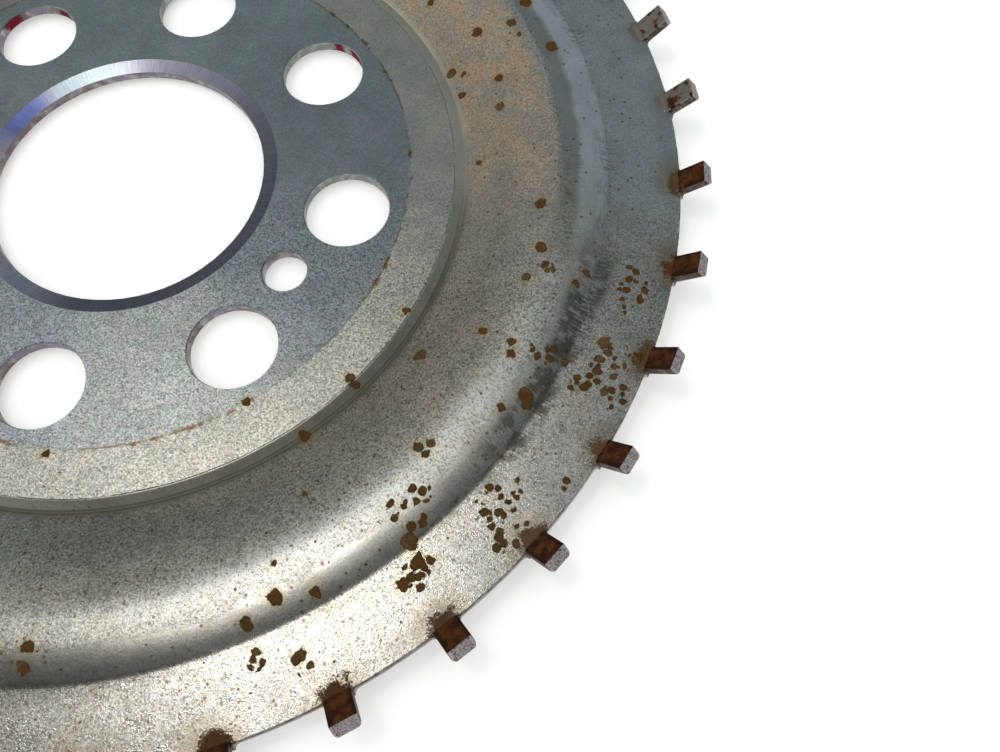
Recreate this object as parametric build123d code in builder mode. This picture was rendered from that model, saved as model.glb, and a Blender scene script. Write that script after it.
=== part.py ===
from build123d import *

import math
import os

# A toothed trigger disc: one pressing of sheet steel that is clamped between a
# crankshaft's flange and its flywheel.  The flat hub has a centring bore, a ring
# of bolt holes and one dowel hole.  Outside it the sheet drops over a small
# step, rises in a domed ring and falls to a flat rim, whose edge carries teeth
# that are folded up towards +Z.
#
# Frame: Z is the bore's axis, and Z = 0 is the hub's back face.  One bolt hole
# is centred on +X.  All sizes are in millimetres and degrees.

# Sheet and hub
sheet = 1.6
bore_radius = 18.0
bore_bevel_width = 1.9
bore_bevel_depth = 0.5
bolt_circle_radius = 30.0
bolt_hole_radius = 5.5
bolt_count = 8
dowel_circle_radius = 26.6
dowel_hole_radius = 2.8
dowel_angle = -22.5
hole_edge_break = 0.15

# Ring section, with heights above the hub's front face
hub_edge_radius = 43.9
step_drop = 0.8
dome_angle = 31.0
dome_radius = 17.5
crest_radius = 57.5
crest_flat = 2.0
crest_height = 3.9
wall_angle = 31.0
rim_height = 2.2
rim_radius = 72.2
rim_edge_round = 0.2

# The same step on the back face, which the hub's back face stands above
step_back_edge_radius = 43.2
step_back_foot_radius = 44.5
step_back_drop = 0.6

# Bend radii on the front face
hub_edge_round = 1.1
step_foot_round = 0.5
crest_round = 3.0
wall_foot_round = 0.8

# Teeth
tooth_count = 36
tooth_phase = -2.4
tooth_width = 3.0
tooth_fold = 40.0
tooth_tip_radius = 74.7
tooth_tip_height = 4.95
tooth_bend_round = 0.8
tooth_root_round = 0.5
tooth_front_round = 0.25
tooth_back_round = 0.55
tooth_tip_round = 0.45
tooth_bite = 1.6
root_overlap = 0.02

# Heights in the frame, worked out from the sizes above
hub_front = sheet
rim_front = hub_front + rim_height
rim_back = rim_front - sheet
crest_front = hub_front + crest_height
foot_front = hub_front - step_drop
hub_middle = hub_front / 2

# The dome is a cone that starts at the step's foot and an arc that levels it at
# the crest
dome_centre = (crest_radius, crest_front - dome_radius)
dome_slope = math.tan(math.radians(dome_angle))
arc_start_radius = crest_radius - dome_radius * math.sin(math.radians(dome_angle))
arc_start_front = dome_centre[1] + dome_radius * math.cos(math.radians(dome_angle))
step_foot_radius = arc_start_radius - (arc_start_front - foot_front) / dome_slope
cone_shift = sheet / math.sin(math.radians(dome_angle))
cone_back_radius = step_foot_radius + cone_shift - (foot_front + step_back_drop) / dome_slope

# The wall runs from the crest's outer edge down to the rim
wall_slope = math.tan(math.radians(wall_angle))
wall_shift = sheet * math.tan(math.radians(wall_angle / 2))
wall_top_radius = crest_radius + crest_flat + crest_round * math.tan(math.radians(wall_angle / 2))
wall_foot_radius = wall_top_radius + (crest_front - rim_front) / wall_slope

# A tooth's front face leaves the rim at the bend line, and its tip is square
fold_sin = math.sin(math.radians(tooth_fold))
fold_cos = math.cos(math.radians(tooth_fold))
fold_tan = fold_sin / fold_cos
tip_front = (tooth_tip_radius, hub_front + tooth_tip_height)
tip_back = (tip_front[0] + sheet * fold_sin, tip_front[1] - sheet * fold_cos)
bend_front = (tip_front[0] - (tip_front[1] - rim_front) / fold_tan, rim_front)
bend_back = (tip_back[0] - (tip_back[1] - rim_back) / fold_tan, rim_back)
bend_middle = ((bend_front[0] + bend_back[0]) / 2, (rim_front + rim_back) / 2)
tip_middle = ((tip_front[0] + tip_back[0]) / 2, (tip_front[1] + tip_back[1]) / 2)
rim_middle = bend_middle[1]
bend_start = bend_middle[0] - (tooth_bend_round + sheet / 2) * math.tan(math.radians(tooth_fold / 2))
tooth_start = rim_radius - tooth_bite
tooth_root_plane = Plane(origin=(tooth_start, 0, rim_middle), x_dir=(0, 1, 0), z_dir=(1, 0, 0))

# The root rounds run from the rim's edge into the tooth's sides, and overlap the
# rim a little
root_centre_y = tooth_width / 2 + tooth_root_round
root_centre_x = math.sqrt((rim_radius + tooth_root_round - root_overlap) ** 2 - root_centre_y**2)

# The tip's corners are rounded about these centres, seen square to the tooth
tip_origin = (tip_middle[0], 0, tip_middle[1])
tip_plane = Plane(origin=tip_origin, x_dir=(fold_cos, 0, fold_sin), z_dir=(-fold_sin, 0, fold_cos))
tip_centre_y = tooth_width / 2 - tooth_tip_round
tip_corner_y = tooth_width / 2 - tooth_tip_round / 2


def corner(builder, point):
    """The sketch corner nearest to a point."""
    return builder.vertices().sort_by_distance((point[0], point[1], 0))[0]


# One tooth: a bar with rounded corners, bent up out of the rim, with the rounds
# that join its sides to the rim's edge
with BuildPart() as tooth:
    with BuildLine(Plane.XZ) as tooth_path:
        FilletPolyline(
            (tooth_start, rim_middle),
            bend_middle,
            tip_middle,
            radius=tooth_bend_round + sheet / 2,
        )
    with BuildSketch(tooth_root_plane) as tooth_bar:
        Rectangle(tooth_width, sheet)
        fillet(tooth_bar.vertices().group_by(Axis.Y)[0], tooth_back_round)
        fillet(tooth_bar.vertices().group_by(Axis.Y)[-1], tooth_front_round)
    sweep(path=tooth_path.line)
    with BuildSketch(tip_plane):
        with Locations((-tooth_tip_round / 2, tip_corner_y), (-tooth_tip_round / 2, -tip_corner_y)):
            Rectangle(tooth_tip_round, tooth_tip_round)
        with Locations((-tooth_tip_round, tip_centre_y), (-tooth_tip_round, -tip_centre_y)):
            Circle(tooth_tip_round, mode=Mode.SUBTRACT)
    extrude(amount=sheet, both=True, mode=Mode.SUBTRACT)
    with BuildSketch(Plane.XY.offset(rim_back)):
        with Locations((root_centre_x - tooth_bite / 2, 0)):
            Rectangle(tooth_bite, 2 * root_centre_y)
        with Locations((root_centre_x, root_centre_y), (root_centre_x, -root_centre_y)):
            Circle(tooth_root_round, mode=Mode.SUBTRACT)
    extrude(amount=sheet)

with BuildPart() as trigger_disc:
    with BuildSketch(Plane.XZ) as ring_section:
        with BuildLine():
            Polyline(
                (bore_radius, hub_middle),
                (bore_radius, hub_front - bore_bevel_depth),
                (bore_radius + bore_bevel_width, hub_front),
                (hub_edge_radius, hub_front),
                (step_foot_radius, foot_front),
            )
            dome_front = CenterArc(dome_centre, dome_radius, 90, dome_angle)
            Line((step_foot_radius, foot_front), dome_front @ 1)
            Polyline(
                (crest_radius, crest_front),
                (wall_top_radius, crest_front),
                (wall_foot_radius, rim_front),
                (rim_radius, rim_front),
                (rim_radius, rim_back),
                (wall_foot_radius - wall_shift, rim_back),
                (wall_top_radius - wall_shift, crest_front - sheet),
                (crest_radius, crest_front - sheet),
            )
            dome_back = CenterArc(dome_centre, dome_radius - sheet, 90, dome_angle)
            Polyline(
                dome_back @ 1,
                (cone_back_radius, -step_back_drop),
                (step_back_foot_radius, -step_back_drop),
                (step_back_edge_radius, 0),
                (bore_radius, 0),
                (bore_radius, hub_middle),
            )
        make_face()
        fillet(corner(ring_section, (hub_edge_radius, hub_front)), hub_edge_round)
        fillet(corner(ring_section, (step_foot_radius, foot_front)), step_foot_round)
        fillet(corner(ring_section, (wall_top_radius, crest_front)), crest_round)
        fillet(corner(ring_section, (wall_foot_radius, rim_front)), wall_foot_round)
        fillet(corner(ring_section, (wall_top_radius - wall_shift, crest_front - sheet)), crest_round - sheet)
        fillet(corner(ring_section, (wall_foot_radius - wall_shift, rim_back)), wall_foot_round + sheet)
        fillet(corner(ring_section, (rim_radius, rim_front)), rim_edge_round)
        fillet(corner(ring_section, (rim_radius, rim_back)), rim_edge_round)
    revolve(axis=Axis.Z)

    # Bolt holes and the dowel hole, with their edges broken
    with PolarLocations(bolt_circle_radius, bolt_count):
        Hole(bolt_hole_radius)
    with PolarLocations(dowel_circle_radius, 1, start_angle=dowel_angle):
        Hole(dowel_hole_radius)
    hole_edges = trigger_disc.edges().filter_by(GeomType.CIRCLE)
    hole_edges = hole_edges.filter_by(lambda edge: edge.radius < bore_radius / 2)
    chamfer(hole_edges, hole_edge_break)

    # The rim is cut away where each tooth bends up out of it
    with BuildSketch(Plane.XY.offset(rim_back)):
        with PolarLocations(rim_radius, tooth_count, start_angle=tooth_phase):
            Rectangle(2 * (rim_radius - bend_start), tooth_width)
    extrude(amount=sheet, mode=Mode.SUBTRACT)
    with PolarLocations(0, tooth_count, start_angle=tooth_phase):
        add(tooth.part)

trigger_disc.part.label = "trigger_disc"
os.makedirs("parts", exist_ok=True)
export_step(trigger_disc.part, "parts/trigger_disc.step")
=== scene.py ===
import math
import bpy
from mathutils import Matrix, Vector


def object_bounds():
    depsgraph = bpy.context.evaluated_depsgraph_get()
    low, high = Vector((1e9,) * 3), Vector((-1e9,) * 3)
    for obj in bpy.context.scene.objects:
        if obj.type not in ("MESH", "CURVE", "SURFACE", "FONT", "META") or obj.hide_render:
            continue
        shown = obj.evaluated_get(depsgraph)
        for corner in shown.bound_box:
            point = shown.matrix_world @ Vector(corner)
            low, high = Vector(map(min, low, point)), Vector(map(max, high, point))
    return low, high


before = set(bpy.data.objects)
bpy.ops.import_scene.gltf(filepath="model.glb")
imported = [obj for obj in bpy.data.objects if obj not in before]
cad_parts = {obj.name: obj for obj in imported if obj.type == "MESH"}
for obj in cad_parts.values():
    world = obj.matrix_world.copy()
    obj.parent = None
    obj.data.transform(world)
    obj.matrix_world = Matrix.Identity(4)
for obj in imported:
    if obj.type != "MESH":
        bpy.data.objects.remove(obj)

from types import SimpleNamespace

import bpy
from mathutils import Matrix, Vector

MM = 0.001
cad_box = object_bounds()
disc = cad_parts["trigger_disc"]

# Radii of the disc's zones and the rim's height, in millimetres, close to the
# CAD's.  The clamp's witness line and the scribed line are only marks.
BEVEL = 19.9
WITNESS = 37.5
SCRIBE = 43.35
STEP_FOOT = 44.8
DOME_END = 57.6
WALL_FOOT = 63.2
TOOTH_START = 71.9
TOOTH_ROOT = 72.2
RIM_FRONT = 3.8
FOLD = math.radians(40)
TOOTH_PITCH = math.radians(10)
TOOTH_PHASE = math.radians(-2.4)

# The studio, in metres.
FLOOR_SIZE = 4.0
FLOOR_GAP = 0.0001
LIT_PLACE = Vector((0.04, -0.02, 0))

# The pressed front face's slope, as radius and rise towards the rim.
SLOPE = (
    (43.0, 0.0), (43.35, -0.02), (43.5, -0.22), (43.9, -0.36), (44.4, -0.36), (44.68, -0.25), (44.85, 0.45),
    (45.2, 0.60), (48.3, 0.60), (50.0, 0.475), (52.0, 0.35), (54.0, 0.285), (56.0, 0.20), (57.4, 0.07),
    (58.6, 0.0), (60.0, -0.05), (60.9, -0.12), (61.6, -0.17), (62.3, -0.26), (62.8, -0.30), (63.2, -0.18),
    (63.6, 0.0), (66.0, 0.0),
)

# Rust spots that stand alone: x, y, radius.
SPOTS = (
    (55.8, -3.8, 0.75), (54.8, -8.1, 0.55), (60.6, -7.7, 0.5), (61.7, -5.9, 0.4),
    (50.9, -15.8, 0.5), (54.5, -16.7, 0.45), (54.7, -18.2, 0.6), (65.0, -14.3, 0.8),
    (57.1, -22.7, 0.9), (57.4, -23.8, 0.6), (54.7, -24.9, 0.5), (25.0, -27.9, 0.5),
    (36.3, -22.8, 0.65), (36.9, -23.6, 0.55), (32.6, -30.6, 0.7), (43.9, -19.0, 0.8),
    (35.6, -37.9, 0.35), (46.6, -30.9, 0.6), (47.9, -30.3, 0.45), (47.6, -31.5, 0.55),
    (48.7, -38.6, 0.5), (47.7, -40.9, 0.9), (49.0, -42.7, 0.7), (50.3, -42.3, 0.5),
    (48.0, -45.4, 0.7), (12.5, -58.1, 0.7), (12.6, -60.0, 0.7), (33.3, -52.1, 0.7),
    (33.8, 34.8, 0.5), (41.7, 29.3, 0.7), (46.2, 30.6, 0.6), (47.6, 28.8, 0.4),
    (38.8, 24.2, 0.7), (40.7, 23.6, 0.4), (41.1, 20.6, 0.5), (46.1, 21.9, 0.6),
    (47.0, 17.5, 0.6), (45.5, 9.8, 0.4), (47.6, 34.4, 0.8), (40.8, -13.0, 0.5),
    (35.6, -49.1, 0.8), (39.4, -47.7, 0.6), (34.8, -54.5, 0.5), (39.3, -54.0, 0.6),
    (54.8, 2.4, 0.75), (4.1, -37.9, 0.5), (34.6, -45.8, 0.35), (52.3, 27.2, 0.8),
)
# Patches of small rust cells: x, y, reach.
PATCHES = (
    (66.7, -5.9, 2.6), (67.3, -8.0, 2.2), (56.8, -6.6, 1.2), (58.7, -17.7, 2.3),
    (65.7, -17.1, 2.6), (63.1, -19.7, 1.7), (67.0, -20.4, 1.9), (68.9, -15.6, 1.0),
    (57.0, -35.3, 3.2), (57.4, -39.1, 1.9), (46.8, -38.9, 2.4), (63.1, -31.5, 1.1),
    (49.0, -44.0, 1.9), (47.9, -35.8, 1.4), (-52.0, 30.0, 3.0), (-30.0, -58.0, 2.6),
    (-60.0, -24.0, 2.4), (-12.0, 55.0, 2.4), (10.0, 66.0, 2.8), (-66.0, 10.0, 2.2),
    (39.6, -54.6, 1.3), (34.8, -55.3, 1.2),
)
# Dabs of red paint on the walls of two bolt holes: x, y, radius.
DABS = ((-26.2, 23.5, 1.5), (-19.2, 26.3, 1.2), (22.2, 26.6, 0.7), (25.1, 25.1, 1.5))


class Nodes:
    """Short names for the shader nodes that a material or the world is made of."""

    def __init__(self, tree):
        self.tree = tree

    def new(self, kind, **settings):
        node = self.tree.nodes.new("ShaderNode" + kind)
        for name, value in settings.items():
            setattr(node, name, value)
        return node

    def put(self, socket, value):
        if isinstance(value, bpy.types.NodeSocket):
            self.tree.links.new(value, socket)
        else:
            socket.default_value = value

    def math(self, operation, a, b=0.0, c=0.0, clamp=False):
        node = self.new("Math", operation=operation, use_clamp=clamp)
        for socket, value in zip(node.inputs, (a, b, c)):
            self.put(socket, value)
        return node.outputs[0]

    def add(self, a, b):
        return self.math("ADD", a, b)

    def sub(self, a, b):
        return self.math("SUBTRACT", a, b)

    def mul(self, a, b, *rest):
        product = self.math("MULTIPLY", a, b)
        for factor in rest:
            product = self.math("MULTIPLY", product, factor)
        return product

    def most(self, a, b):
        return self.math("MAXIMUM", a, b)

    def invert(self, a):
        return self.math("SUBTRACT", 1.0, a)

    def vector(self, operation, a, b=(0.0, 0.0, 0.0), scale=1.0):
        node = self.new("VectorMath", operation=operation)
        self.put(node.inputs[0], a)
        self.put(node.inputs[1], b)
        self.put(node.inputs[3], scale)
        return node.outputs[1 if operation in ("LENGTH", "DISTANCE", "DOT_PRODUCT") else 0]

    def join(self, x, y, z):
        node = self.new("CombineXYZ")
        for socket, value in zip(node.inputs, (x, y, z)):
            self.put(socket, value)
        return node.outputs[0]

    def split(self, vector):
        node = self.new("SeparateXYZ")
        self.put(node.inputs[0], vector)
        return node.outputs

    def ease(self, value, start, end):
        """0 before start and 1 after end, smooth between them; it falls where end is below start."""
        rises = end > start
        node = self.new("MapRange", interpolation_type="SMOOTHSTEP")
        self.put(node.inputs["Value"], value)
        self.put(node.inputs["From Min"], min(start, end))
        self.put(node.inputs["From Max"], max(start, end))
        self.put(node.inputs["To Min"], 0.0 if rises else 1.0)
        self.put(node.inputs["To Max"], 1.0 if rises else 0.0)
        return node.outputs[0]

    def band(self, value, start, end, soft):
        """1 from start to end and 0 outside them."""
        rise = self.ease(value, start - soft, start + soft)
        return self.mul(rise, self.ease(value, end + soft, end - soft))

    def noise(self, place, size, detail=2.0, rough=0.5, output="Fac"):
        node = self.new("TexNoise")
        self.put(node.inputs["Vector"], place)
        for name, value in (("Scale", 1 / size), ("Detail", detail), ("Roughness", rough)):
            node.inputs[name].default_value = value
        return node.outputs[output]

    def sway(self, noise, reach):
        """A noise of 0..1 made to swing about zero."""
        return self.mul(self.sub(noise, 0.5), reach)

    def cells(self, place, size):
        """Scattered cells: how far a point is from its cell's middle, and random values for the cell."""
        node = self.new("TexVoronoi")
        self.put(node.inputs["Vector"], place)
        node.inputs["Scale"].default_value = 1 / size
        return node.outputs["Distance"], self.split(node.outputs["Color"])

    def inside(self, place, marks):
        """How deep a point lies in the deepest of some round marks, which are x, y, radius."""
        depth = -1.0
        for x, y, radius in marks:
            away = self.vector("DISTANCE", place, (x, y, 0.0))
            depth = self.most(depth, self.math("MULTIPLY_ADD", away, -1.0, radius))
        return depth

    def mix(self, amount, a, b, blend="MIX"):
        node = self.new("Mix", data_type="RGBA", blend_type=blend)
        self.put(node.inputs[0], amount)
        self.put(node.inputs[6], a)
        self.put(node.inputs[7], b)
        return node.outputs[2]

    def tint(self, amount, colour, factor):
        return self.mix(amount, colour, self.mix(1.0, colour, factor, "MULTIPLY"))

    def blend(self, amount, a, b):
        node = self.new("Mix", data_type="FLOAT")
        self.put(node.inputs[0], amount)
        self.put(node.inputs[2], a)
        self.put(node.inputs[3], b)
        return node.outputs[0]

    def turn_mix(self, amount, a, b):
        node = self.new("Mix", data_type="VECTOR")
        self.put(node.inputs[0], amount)
        self.put(node.inputs[4], a)
        self.put(node.inputs[5], b)
        return node.outputs[1]

    def curve(self, value, low, high, points):
        """A smooth line through points over low..high; the heights lie in -1..1."""
        share = self.math("DIVIDE", self.sub(value, low), high - low, clamp=True)
        node = self.new("FloatCurve")
        line = node.mapping.curves[0]
        places = [((x - low) / (high - low), (y + 1) / 2) for x, y in points]
        line.points[0].location = places[0]
        line.points[1].location = places[-1]
        for place in places[1:-1]:
            line.points.new(*place)
        node.mapping.update()
        self.put(node.inputs["Value"], share)
        return self.math("MULTIPLY_ADD", node.outputs[0], 2.0, -1.0)

    def bump(self, height, depth, normal=None):
        node = self.new("Bump")
        node.inputs["Strength"].default_value = 1.0
        node.inputs["Distance"].default_value = depth * MM
        self.put(node.inputs["Height"], height)
        if normal is not None:
            self.put(node.inputs["Normal"], normal)
        return node.outputs[0]


def rgb(red, green, blue):
    return (red, green, blue, 1.0)


def surface(n):
    """What the material is painted by: a point's place, the noises there and its zone of the disc."""
    coords = n.new("TexCoord")
    s = SimpleNamespace(place=n.vector("SCALE", coords.outputs["Object"], scale=1 / MM))
    s.x, s.y, s.z = n.split(s.place)
    s.flat = n.join(s.x, s.y, 0.0)
    s.radius = n.vector("LENGTH", s.flat)
    s.outward = n.vector("NORMALIZE", s.flat)
    s.angle = n.math("ARCTAN2", s.y, s.x)
    s.azimuth = n.math("DEGREES", s.angle)
    s.normal = coords.outputs["Normal"]
    s.facing = n.split(s.normal)[2]
    s.leaning = n.vector("DOT_PRODUCT", s.normal, s.outward)

    # Noises, from broad to fine.
    s.broad = n.noise(s.place, 14.0, 2.0)
    s.patchy = n.noise(s.place, 4.5, 3.0, 0.6)
    s.mottle = n.noise(s.place, 1.6, 3.0, 0.6)
    s.grain = n.noise(s.place, 0.20, 2.0, 0.7)
    s.fine = n.noise(s.place, 0.11, 1.0, 0.5)
    facet = n.cells(s.place, 0.21)[1][0]
    s.speck = n.add(n.add(n.mul(s.grain, 0.43), n.mul(s.fine, 0.41)), n.mul(facet, 0.16))
    s.wavy = n.add(s.radius, n.sway(s.patchy, 1.6))
    drift = n.noise(s.place, 0.8, output="Color")
    s.drift = n.vector("SCALE", n.vector("SUBTRACT", drift, (0.5, 0.5, 0.5)), scale=0.9)

    # Short radial strokes, and long ones that follow the wall's foot.
    strokes = n.vector("SCALE", s.outward, scale=150.0)
    s.strokes = n.vector("ADD", strokes, n.join(0.0, 0.0, n.mul(s.radius, 0.3)))
    s.comb = n.noise(s.strokes, 0.55, 2.0, 0.6)
    swept = n.vector("SCALE", s.outward, scale=22.0)
    s.trail = n.noise(n.vector("ADD", swept, n.join(0.0, 0.0, n.mul(s.radius, 1.3))), 0.55, 3.0, 0.6)

    # The front face, the sheared edges and the teeth.
    s.front = n.ease(s.facing, 0.45, 0.7)
    s.edge = n.ease(n.math("ABSOLUTE", s.facing), 0.45, 0.25)
    past_bend = n.ease(n.add(s.z, n.mul(n.sub(s.radius, TOOTH_START), 2.0)), 3.95, 4.15)
    s.on_tooth = n.mul(n.ease(s.radius, TOOTH_START - 0.4, TOOTH_START), past_bend)

    # The lower half keeps its coarse grain, the upper right is smoother.  What
    # differs between the sides fades out at the far side, where they meet.
    s.lap = n.ease(n.math("ABSOLUTE", s.azimuth), 178.0, 125.0)
    s.lower = n.mul(n.ease(n.add(s.azimuth, n.sway(s.broad, 16.0)), 14.0, -12.0), s.lap)
    s.warm_side = n.mul(n.ease(s.azimuth, -10.0, 25.0), s.lap)

    # The zones of the front face, from the hub outwards.
    s.hub = n.mul(s.front, n.ease(s.radius, WITNESS + 0.15, WITNESS - 0.15))
    s.ring = n.mul(s.front, n.band(s.radius, WITNESS, SCRIBE, 0.12))
    s.step = n.mul(s.front, n.band(s.radius, SCRIBE + 0.1, STEP_FOOT + 0.5, 0.25))
    s.dome = n.mul(s.front, n.band(s.wavy, STEP_FOOT + 0.6, DOME_END, 0.5))
    burnish_start = n.ease(n.sub(s.wavy, n.blend(s.warm_side, 59.8, 56.6)), -0.3, 0.3)
    s.burnished = n.mul(s.front, burnish_start, n.ease(s.radius, WALL_FOOT + 0.1, WALL_FOOT - 0.4))
    s.rim = n.mul(s.front, n.ease(s.radius, WALL_FOOT - 0.3, WALL_FOOT + 0.3))
    return s


def grain_strength(n, s):
    """Strong where the coating is bare and dull, weak where it was burnished."""
    coarse = n.blend(s.lower, 0.34, 1.0)
    coarse = n.blend(s.burnished, coarse, n.mul(coarse, 0.4))
    coarse = n.blend(s.step, coarse, n.mul(coarse, 0.25))
    coarse = n.blend(n.mul(s.dome, n.invert(s.lower)), coarse, 0.62)
    return n.blend(s.front, 0.5, coarse)


def zinc_colour(n, s, coarse):
    """The bare coating: cool on the clamped hub, warm and dusty outside it, with painted highlight, painted
    shade and painted reflection on the hub, crest and rim, set by azimuth.
    """
    upper = n.invert(s.lower)
    # Painted highlight: the hub is painted brighter and neutral round azimuth −62°, where the key light's
    # highlight falls.
    hub_painted_highlight = n.ease(n.math("ABSOLUTE", n.add(s.azimuth, 62.0)), 34.0, 8.0)
    hub_zinc = n.mix(hub_painted_highlight, rgb(0.43, 0.47, 0.485), rgb(0.54, 0.56, 0.55))
    zinc = n.mix(s.hub, rgb(0.62, 0.61, 0.555), hub_zinc)
    # Painted reflection: the hub is tinted blue-grey from azimuth 40° round to the far side.
    zinc = n.mix(n.mul(s.hub, n.ease(s.azimuth, 40.0, 90.0), s.lap), zinc, rgb(0.50, 0.58, 0.57))
    # Painted shade: the hub is darkened from azimuth −42° to −6°, where the highlight fades.
    zinc = n.mix(n.mul(s.hub, n.band(s.azimuth, -42.0, -6.0, 12.0), 0.5), zinc, rgb(0.30, 0.33, 0.35))
    zinc = n.mix(s.dome, zinc, rgb(0.61, 0.585, 0.515))
    zinc = n.mix(n.mul(s.rim, upper), zinc, rgb(0.61, 0.63, 0.63))
    # Painted highlight: the crest and rim are painted near white on the lower front, where the key light's
    # highlight falls.
    crest_and_rim = n.most(s.rim, n.mul(n.band(s.radius, 55.5, 62.0, 1.5), s.front))
    painted_highlight_place = n.mul(s.lower, n.ease(s.azimuth, 0.0, -30.0))
    zinc = n.mix(n.mul(crest_and_rim, painted_highlight_place), zinc, rgb(0.92, 0.90, 0.82))
    zinc = n.mix(n.mul(s.burnished, upper), zinc, rgb(0.80, 0.85, 0.86))
    # Painted shade: a dark band on the crest at the right side.
    crest_painted_shade = n.mul(n.band(s.wavy, 56.8, 59.4, 0.5), n.ease(s.azimuth, -8.0, 6.0), s.lap, 0.8)
    zinc = n.mix(crest_painted_shade, zinc, rgb(0.40, 0.39, 0.37))
    zinc = n.mix(s.step, zinc, n.mix(s.warm_side, rgb(0.60, 0.58, 0.48), rgb(0.74, 0.72, 0.60)))
    hue = n.ease(n.noise(s.place, 3.0, 3.0, 0.7), 0.4, 0.6)
    rainbow = n.mix(hue, rgb(1.05, 0.98, 1.04), rgb(0.96, 1.03, 0.98))
    zinc = n.tint(n.mul(s.hub, 0.8), zinc, rainbow)

    # Light and dark: the grain, broad clouds, painted shade over the crest, wall and rim beyond azimuth −58°,
    # and a darker band just outside the wall's foot in the lower half.
    shade = n.add(1.0, n.mul(n.sub(s.speck, 0.5), coarse, 4.5))
    shade = n.mul(shade, n.add(1.0, n.sway(s.patchy, 0.5)), n.add(1.0, n.sway(s.broad, 0.3)))
    # Painted shade beyond azimuth −58°, deepest over the wall and the rim beside it.
    depth = n.add(0.36, n.mul(n.band(s.radius, 59.5, 65.5, 1.0), 0.18))
    corner = n.mul(n.ease(s.azimuth, -58.0, -80.0), s.lap, n.ease(s.radius, 53.0, 57.0), depth)
    foot = n.mul(n.band(s.radius, 63.0, 65.0, 0.8), s.lower, 0.14)
    shade = n.mul(shade, n.invert(corner), n.invert(foot))
    return n.vector("SCALE", zinc, scale=n.math("MINIMUM", n.math("MAXIMUM", shade, 0.15), 1.7))


def rust_haze(n, s):
    """A beige and pink film on the dome, heaviest at its upper part, with traces on the ring and rim."""
    upper_dome = n.mul(n.ease(s.azimuth, -4.0, 18.0), s.lap)
    lower_dome = n.mul(n.band(s.azimuth, -42.0, -12.0, 8.0), 0.28)
    clouds = n.add(0.3, n.mul(n.ease(s.patchy, 0.4, 0.6), 0.7))
    haze = n.mul(n.band(s.radius, 45.4, 56.0, 1.2), n.add(upper_dome, lower_dome), clouds, s.front)
    haze = n.most(haze, n.mul(s.ring, n.ease(s.patchy, 0.52, 0.75), 0.35))
    haze = n.most(haze, n.mul(s.rim, s.lower, n.ease(n.noise(s.place, 5.2, 3.0), 0.55, 0.75), 0.4))
    return n.mul(haze, n.ease(s.speck, 0.1, 0.55))


def rust_marks(n, s):
    """Single spots and patches of small cells: the rust, its ochre halo and how deep a point is inside."""
    crawl = n.vector("MULTIPLY", n.vector("ADD", s.flat, s.drift), (1.0, 1.0, 0.0))
    spot = n.inside(crawl, SPOTS)
    reach = -1.0
    for x, y, size in PATCHES:
        away = n.vector("DISTANCE", crawl, (x, y, 0.0))
        reach = n.most(reach, n.math("MULTIPLY_ADD", away, -1 / size, 1.0))
    cell, pick = n.cells(n.vector("ADD", s.flat, n.vector("SCALE", s.drift, scale=0.4)), 1.0)
    cell_size = n.mul(n.ease(n.add(reach, n.sway(pick[0], 0.7)), 0.0, 0.4), 0.55)
    ragged = n.sway(s.grain, 0.4)
    patch = n.add(n.sub(cell_size, cell), ragged)
    spot = n.add(spot, ragged)
    rust = n.mul(n.most(n.ease(spot, -0.05, 0.06), n.ease(patch, -0.05, 0.03)), s.front)
    near = n.most(n.ease(spot, -0.9, 0.0), n.ease(patch, -0.35, 0.05))
    return rust, n.mul(near, s.front, n.ease(s.speck, 0.25, 0.6)), n.most(spot, patch)


def pits_and_flecks(n, s):
    """Small dark pits in the lower half, and rusty flecks that crowd at one place of the rim."""
    cell, pick = n.cells(s.flat, 0.62)
    pitted = n.mul(n.ease(cell, 0.24, 0.14), n.ease(pick[1], 0.80, 0.86), n.ease(s.patchy, 0.42, 0.6))
    pits = n.mul(pitted, s.lower, s.front, n.invert(s.on_tooth))
    crowd = n.mul(n.ease(n.vector("DISTANCE", s.flat, (32.5, -60.5, 0.0)), 7.0, 1.5), 0.35)
    picked = n.ease(n.add(pick[2], crowd), 0.93, 0.97)
    flecks = n.mul(n.ease(cell, 0.34, 0.2), picked, n.band(s.radius, 45.2, 71.0, 1.0), s.front)
    return pits, flecks


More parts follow.
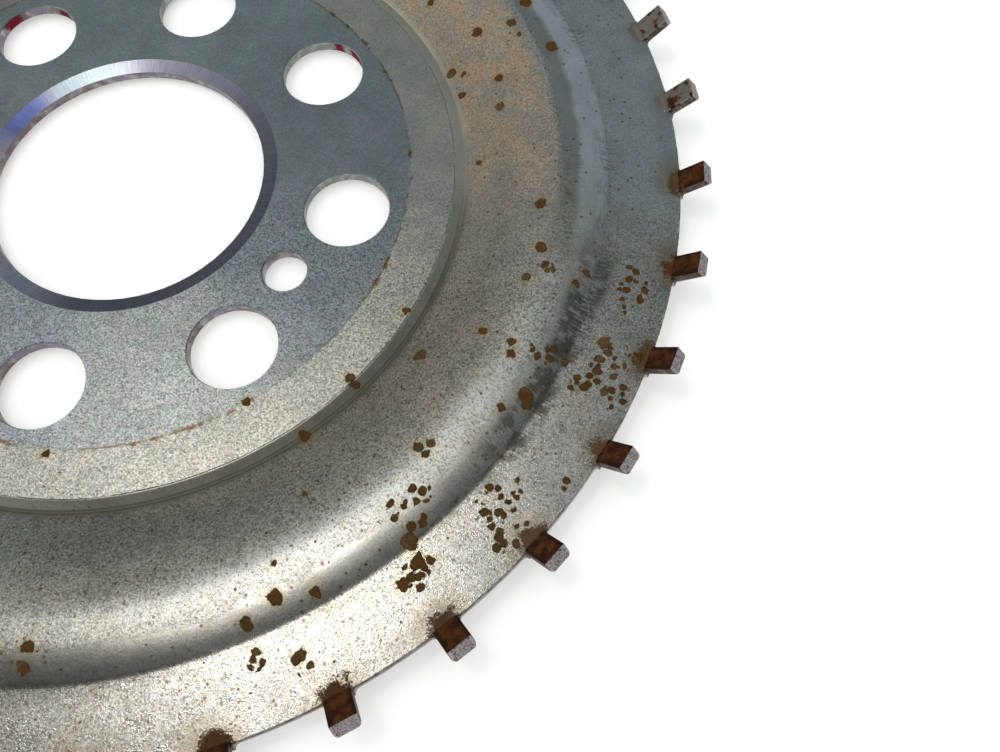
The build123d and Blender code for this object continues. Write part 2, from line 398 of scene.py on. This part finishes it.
def tooth_marks(n, s):
    """Rust on each tooth, the stain that runs from its root over the rim, its end face, and its burr with a
    painted highlight along it.
    """
    turn = n.math("DIVIDE", n.sub(s.angle, TOOTH_PHASE), TOOTH_PITCH)
    number = n.math("ROUND", turn)
    t = SimpleNamespace(across=n.mul(n.sub(turn, number), n.mul(s.radius, TOOTH_PITCH)))
    draw = n.new("TexWhiteNoise", noise_dimensions="1D")
    n.put(draw.inputs["W"], number)
    heavy = n.blend(n.band(s.azimuth, 13.0, 60.0, 2.0), n.blend(draw.outputs["Value"], 0.82, 1.1), 0.46)

    inward = n.mul(n.most(n.sub(72.0, s.radius), 0.0), 0.62)
    root_gap = n.vector("LENGTH", n.join(inward, n.mul(t.across, 0.5), 0.0))
    stain_edge = n.add(n.add(root_gap, n.sway(s.mottle, 1.8)), n.sway(s.grain, 1.2))
    t.root_rust = n.mul(n.ease(stain_edge, 1.1, 0.75), heavy, s.front)
    haze_edge = n.ease(n.add(root_gap, n.sway(s.patchy, 2.0)), 2.6, 0.6)
    t.root_haze = n.mul(haze_edge, heavy, s.front, n.ease(s.speck, 0.3, 0.6))

    outward = n.mul(n.sub(s.radius, TOOTH_ROOT), math.cos(FOLD))
    along = n.add(outward, n.mul(n.sub(s.z, RIM_FRONT), math.sin(FOLD)))
    face = n.mul(s.on_tooth, n.ease(s.leaning, 0.0, -0.3))
    t.end = n.mul(s.on_tooth, n.ease(s.leaning, 0.5, 0.7), n.ease(s.facing, 0.3, 0.5))
    t.mottle = n.ease(n.noise(s.place, 0.8, 3.0, 0.6), 0.38, 0.58)
    # Painted highlight: a thin pale line along each tooth's tip edge, where its burr catches the light.
    tip_edge = n.band(n.add(along, n.sway(s.fine, 0.05)), 3.56, 3.70, 0.02)
    t.burr = n.mul(s.on_tooth, tip_edge, n.ease(s.grain, 0.36, 0.5))

    cover = n.ease(n.add(heavy, n.sway(n.noise(s.place, 1.3, 3.0, 0.6), 1.5)), 0.42, 0.62)
    on_sides = n.mul(s.on_tooth, n.invert(t.end), n.invert(face), cover, 0.55)
    rust = n.most(n.mul(face, cover), on_sides)
    rust = n.most(rust, n.mul(t.end, n.ease(s.mottle, 0.5, 0.62), 0.75, heavy))
    t.rust = n.mul(rust, n.invert(t.burr))
    return t


def grease(n, s):
    """Scraped dirt: a line along the wall's foot, combed strokes on the right, and the step's groove."""
    smear = n.noise(s.place, 3.4, 3.0, 0.6)
    right = n.band(s.azimuth, -14.0, 60.0, 4.0)
    line = n.band(n.add(s.radius, n.sway(s.trail, 1.4)), 62.8, 63.3, 0.28)
    fading = n.blend(n.mul(n.ease(s.azimuth, -22.0, 0.0), s.lap), 0.9, 0.25)
    foot_line = n.mul(line, n.ease(s.trail, 0.36, 0.52), fading)
    smeared = n.ease(n.add(n.mul(smear, 0.6), n.mul(s.trail, 0.4)), 0.48, 0.64)
    foot = n.most(foot_line, n.mul(n.band(s.wavy, 61.6, 63.4, 0.7), smeared, 0.7))
    foot = n.mul(foot, n.sub(1.0, n.mul(n.band(s.azimuth, -63.0, -44.0, 6.0), 0.7)))
    groove = n.mul(n.band(s.radius, 44.45, 45.0, 0.12), n.ease(s.azimuth, 12.0, -12.0), s.lap, 0.8)

    outer_places = n.ease(n.noise(s.place, 6.0, 1.0), 0.42, 0.6)
    outer = n.mul(n.band(s.wavy, 62.3, 64.8, 0.9), n.ease(s.comb, 0.48, 0.62), outer_places, right)
    inner_places = n.ease(n.noise(s.place, 5.0, 1.0), 0.5, 0.66)
    inner = n.mul(n.band(s.wavy, 57.6, 59.8, 0.8), n.ease(s.comb, 0.5, 0.66), inner_places, right)
    combed = n.most(outer, inner)
    blotted = n.ease(n.add(n.mul(smear, 0.7), n.mul(s.comb, 0.3)), 0.42, 0.53)
    blotch = n.mul(n.band(s.wavy, 60.6, 64.6, 0.7), n.band(s.azimuth, -30.0, -3.0, 4.0), blotted)
    smears = n.add(n.mul(combed, 0.6), n.mul(blotch, 0.9))
    return n.mul(s.front, n.math("MINIMUM", n.add(n.most(n.mul(foot, 0.8), groove), smears), 1.0))


def hub_lines(n, s):
    """The clamp's witness line, the rust blisters along it, and the scribed line beside the step."""
    breaks = n.ease(n.add(n.noise(s.place, 2.2, 3.0, 0.7), n.sway(s.broad, 0.5)), 0.40, 0.6)
    line = n.band(n.add(s.radius, n.sway(s.mottle, 0.35)), WITNESS - 0.12, WITNESS + 0.14, 0.10)
    witness = n.mul(line, breaks, s.front)
    line = n.band(n.add(s.radius, n.sway(s.mottle, 1.2)), WITNESS - 0.25, WITNESS + 0.3, 0.2)
    blister = n.mul(line, n.ease(n.noise(s.place, 2.6, 2.0, 0.7), 0.55, 0.64), s.front)
    line = n.band(n.add(s.radius, n.sway(s.broad, 0.3)), SCRIBE - 0.03, SCRIBE + 0.03, 0.05)
    scribe = n.mul(line, n.ease(s.patchy, 0.36, 0.5), s.front)
    return witness, blister, scribe


def sheared_edges(n, s, tooth, colour):
    """Hole walls and outer edges: brown and purple, greyer at the upper right, dark on the teeth."""
    wall = n.mix(n.ease(s.patchy, 0.4, 0.6), rgb(0.13, 0.10, 0.11), rgb(0.19, 0.165, 0.22))
    wall = n.mix(n.ease(n.add(s.x, s.y), 12.0, 32.0), wall, rgb(0.19, 0.20, 0.19))
    wall = n.mix(s.on_tooth, wall, n.mix(tooth.mottle, rgb(0.085, 0.075, 0.08), rgb(0.04, 0.025, 0.02)))
    cover = n.add(0.62, n.mul(n.ease(n.noise(s.place, 1.2, 2.0), 0.3, 0.55), 0.35))
    return n.mix(n.mul(s.edge, cover), colour, wall)


def bore_bevel(n, s, bevel, colour):
    """Colours round the bore's bevel: a purple-grey mottle and, set by azimuth, painted shade, a pale painted
    highlight and a cobalt painted reflection, with fine radial streaks.
    """
    tint = n.mix(n.ease(n.noise(s.place, 5.0, 2.0), 0.42, 0.58), rgb(0.50, 0.54, 0.66), rgb(0.60, 0.54, 0.62))
    # Painted shade: the bevel is dark grey from azimuth −100° to 104°.
    tint = n.mix(n.band(s.azimuth, -100.0, 104.0, 14.0), tint, rgb(0.27, 0.27, 0.33))
    # Painted highlight: a pale cyan band from azimuth 112° to 142°.
    tint = n.mix(n.band(s.azimuth, 112.0, 142.0, 10.0), tint, rgb(0.48, 0.58, 0.64))
    # Painted reflection: cobalt from azimuth 146° to 170°.
    tint = n.mix(n.band(s.azimuth, 146.0, 170.0, 8.0), tint, rgb(0.20, 0.26, 0.60))
    streaks = n.add(0.35, n.mul(n.noise(s.strokes, 0.8, 3.0, 0.7), 1.3))
    return n.mix(bevel, colour, n.vector("SCALE", tint, scale=streaks))


def rust_colour(n, s, tooth, deep, depth):
    """Olive brown spots with dark outlines, and deep red-brown teeth with browner roots."""
    olive = n.mix(n.ease(s.mottle, 0.38, 0.62), rgb(0.17, 0.10, 0.035), rgb(0.27, 0.175, 0.08))
    olive = n.mix(n.ease(n.noise(s.place, 5.0, 1.0), 0.46, 0.58), olive, rgb(0.22, 0.10, 0.028))
    outline = n.ease(n.add(depth, n.sway(s.grain, 0.3)), 0.2, 0.02)
    olive = n.mix(n.mul(outline, 0.8), olive, rgb(0.085, 0.042, 0.014))
    streaked = n.ease(n.noise(s.place, 1.1, 3.0, 0.6), 0.36, 0.68)
    maroon = n.mix(streaked, rgb(0.075, 0.020, 0.009), rgb(0.19, 0.068, 0.018))
    sides = n.mul(n.ease(n.math("ABSOLUTE", tooth.across), 0.75, 1.4), n.ease(s.radius, 71.0, 72.4))
    maroon = n.mix(n.mul(sides, 0.75), maroon, rgb(0.028, 0.012, 0.009))
    stain = n.mul(tooth.root_rust, n.invert(s.on_tooth), 0.65)
    maroon = n.mix(stain, maroon, rgb(0.21, 0.095, 0.022))
    return n.mix(deep, olive, maroon)


def pressed_normal(n, s):
    """The pressed profile's slope, smooth across the facets of the mesh."""
    slope = n.curve(s.radius, SLOPE[0][0], SLOPE[-1][0], SLOPE)
    back = n.vector("SCALE", s.outward, scale=n.mul(slope, -1.0))
    ideal = n.vector("NORMALIZE", n.vector("ADD", back, (0.0, 0.0, 1.0)))
    pressed = n.mul(n.ease(s.facing, 0.5, 0.7), n.band(s.radius, 43.1, 71.0, 0.15))
    world = n.new("VectorTransform", vector_type="NORMAL", convert_from="OBJECT", convert_to="WORLD")
    n.put(world.inputs[0], n.turn_mix(pressed, s.normal, ideal))
    return world.outputs[0]


def zinc_material():
    material = bpy.data.materials.new("zinc_plated_steel_worn")
    material.use_nodes = True
    shader = material.node_tree.nodes["Principled BSDF"]
    n = Nodes(material.node_tree)
    s = surface(n)
    coarse = grain_strength(n, s)
    haze = rust_haze(n, s)
    rust, halo, depth = rust_marks(n, s)
    pits, flecks = pits_and_flecks(n, s)
    tooth = tooth_marks(n, s)
    dirt = grease(n, s)
    witness, blister, scribe = hub_lines(n, s)
    bevel = n.mul(n.ease(s.radius, BEVEL + 0.06, BEVEL - 0.02), n.ease(s.facing, 0.2, 0.5))
    dab = n.inside(n.vector("ADD", s.flat, n.vector("SCALE", s.drift, scale=1.2)), DABS)
    paint = n.mul(n.ease(n.add(dab, n.sway(s.mottle, 1.5)), -0.3, 0.5), s.edge)

    # The coating, with all that stains it.
    colour = zinc_colour(n, s, coarse)
    colour = n.tint(haze, colour, rgb(1.05, 0.86, 0.69))
    colour = n.tint(n.mul(halo, 0.5), colour, rgb(1.02, 0.86, 0.52))
    colour = n.mix(n.mul(flecks, 0.75), colour, rgb(0.24, 0.12, 0.05))
    tooth_end = n.mix(tooth.mottle, rgb(0.28, 0.26, 0.33), rgb(0.085, 0.06, 0.07))
    colour = n.mix(n.mul(tooth.end, 0.9), colour, tooth_end)
    colour = n.mix(n.mul(tooth.root_haze, 0.7), colour, rgb(0.34, 0.21, 0.07))
    colour = n.mix(n.mul(dirt, 0.85), colour, rgb(0.085, 0.08, 0.065))
    colour = n.mix(n.mul(witness, 0.75), colour, rgb(0.25, 0.19, 0.10))
    colour = n.mix(n.mul(blister, 0.85), colour, rgb(0.24, 0.11, 0.03))
    colour = n.mix(n.mul(scribe, 0.8), colour, rgb(0.09, 0.08, 0.07))
    colour = sheared_edges(n, s, tooth, colour)
    colour = bore_bevel(n, s, bevel, colour)

    # What covers the coating: rust, pits, paint and the teeth's burrs, painted pale as a highlight.
    deep = n.most(tooth.rust, tooth.root_rust)
    covered = n.most(n.most(rust, deep), n.most(n.mul(pits, 0.9), n.most(paint, tooth.burr)))
    covered = n.math("MINIMUM", covered, 1.0)
    skin = rust_colour(n, s, tooth, deep, depth)
    skin = n.mix(paint, skin, rgb(0.20, 0.008, 0.024))
    # The burr's glint is painted as a pale, matte colour: a painted highlight.
    skin = n.mix(tooth.burr, skin, rgb(0.62, 0.57, 0.60))
    skin = n.mix(n.mul(pits, n.invert(rust), n.invert(deep)), skin, rgb(0.07, 0.04, 0.02))
    skin = n.vector("SCALE", skin, scale=n.add(0.3, n.mul(n.add(s.speck, s.grain), 0.7)))
    n.put(shader.inputs["Base Color"], n.mix(covered, colour, skin))
    bare = n.mul(n.invert(covered), n.sub(1.0, n.mul(dirt, 0.5)), n.sub(1.0, n.mul(haze, 0.2)))
    n.put(shader.inputs["Metallic"], bare)
    n.put(shader.inputs["Specular IOR Level"], n.blend(covered, 0.5, 0.14))

    rough = n.add(n.blend(s.rim, 0.34, 0.27), n.sway(s.mottle, 0.12))
    rough = n.blend(s.burnished, rough, n.sub(rough, 0.02))
    rough = n.add(rough, n.mul(n.most(haze, dirt), 0.16))
    rough = n.blend(bevel, rough, 0.3)
    rough = n.blend(covered, rough, n.add(0.5, n.mul(s.mottle, 0.3)))
    n.put(shader.inputs["Roughness"], rough)

    # Relief, from the pressing's waves down to the coating's grain.
    relief = n.bump(n.noise(s.place, 9.0, 1.0), 0.10, pressed_normal(n, s))
    relief = n.bump(n.noise(s.place, 2.2, 2.0), 0.008, relief)
    relief = n.bump(n.sub(n.mul(s.on_tooth, s.mottle), n.mul(scribe, 0.5)), 0.10, relief)
    relief = n.bump(n.mul(n.add(s.grain, s.fine), n.add(0.15, coarse)), 0.015, relief)
    n.put(shader.inputs["Normal"], relief)
    return material


def floor_material():
    material = bpy.data.materials.new("pale_floor")
    material.use_nodes = True
    shader = material.node_tree.nodes["Principled BSDF"]
    shader.inputs["Base Color"].default_value = rgb(0.92, 0.92, 0.92)
    shader.inputs["Roughness"].default_value = 0.9
    shader.inputs["Specular IOR Level"].default_value = 0.1
    return material


def stage():
    """A pale floor just under the disc."""
    low = cad_box[0][2]
    bpy.ops.mesh.primitive_plane_add(size=FLOOR_SIZE, location=(0, 0, low - FLOOR_GAP))
    floor = bpy.context.object
    floor.name = "floor"
    floor.data.materials.append(floor_material())
    return floor


def camera():
    """The camera, fitted to the outlines of the bore, the holes and the rim."""
    data = bpy.data.cameras.new("camera")
    data.lens = 30.06
    data.sensor_width = 36
    data.clip_start = 0.005
    seen_from = bpy.data.objects.new("camera", data)
    bpy.context.scene.collection.objects.link(seen_from)
    eye = Vector((61.74, -56.4, 92.2)) * MM
    aim = Vector((53.58, -19.59, 1.6)) * MM
    roll = math.radians(-2.494)
    turn = (aim - eye).to_track_quat("-Z", "Y").to_matrix().to_4x4()
    seen_from.matrix_world = Matrix.Translation(eye) @ turn @ Matrix.Rotation(roll, 4, "Z")
    bpy.context.scene.camera = seen_from


def softbox(name, towards, distance, size, power, tint):
    """A round lamp that faces the part of the disc in view."""
    data = bpy.data.lights.new(name, "AREA")
    data.shape = "DISK"
    data.size = size
    data.energy = power
    data.color = tint
    lamp = bpy.data.objects.new(name, data)
    bpy.context.scene.collection.objects.link(lamp)
    direction = Vector(towards).normalized()
    turn = direction.to_track_quat("Z", "Y").to_matrix().to_4x4()
    lamp.matrix_world = Matrix.Translation(LIT_PLACE + direction * distance) @ turn
    return lamp


def studio(floor):
    """A dim, uneven room with two lamps, and a third lamp that lights the floor alone."""
    world = bpy.data.worlds.new("studio")
    bpy.context.scene.world = world
    world.use_nodes = True
    n = Nodes(world.node_tree)
    backdrop = world.node_tree.nodes["Background"]
    direction = n.new("TexCoord").outputs["Generated"]
    dx, dy, dz = n.split(direction)
    left = n.ease(n.add(n.mul(dx, -0.95), n.mul(dy, -0.32)), 0.35, 0.95)
    front_side = n.mul(n.ease(n.sub(n.mul(dx, 0.5), n.mul(dy, 0.87)), 0.2, 0.8), n.ease(dz, 0.9, 0.6))
    window = n.mul(n.ease(dy, 0.1, 0.7), n.ease(dx, -0.75, -0.35))
    light = n.mix(window, rgb(0.10, 0.107, 0.115), rgb(0.22, 0.25, 0.265))
    light = n.mix(front_side, light, rgb(0.36, 0.37, 0.37))
    light = n.mix(n.mul(left, n.ease(dz, 0.95, 0.6)), light, rgb(0.50, 0.50, 0.48))
    n.put(backdrop.inputs["Color"], light)
    backdrop.inputs["Strength"].default_value = 1.0

    softbox("key", (-0.28, 0.08, 0.96), 1.4, 0.30, 1.75, (1.0, 0.965, 0.90))
    softbox("side", (-0.50, 0.18, 0.85), 1.4, 0.6, 0.6, (0.95, 0.98, 1.0))

    sky = bpy.data.lights.new("floor_wash", "SUN")
    sky.energy = 2.6
    sky.angle = math.radians(90)
    wash = bpy.data.objects.new("floor_wash", sky)
    bpy.context.scene.collection.objects.link(wash)
    only_floor = bpy.data.collections.new("only_floor")
    only_floor.objects.link(floor)
    wash.light_linking.receiver_collection = only_floor
    wash.light_linking.blocker_collection = only_floor


disc.data.materials.clear()
disc.data.materials.append(zinc_material())

floor = stage()
camera()
studio(floor)
bpy.context.scene.view_settings.view_transform = "Standard"
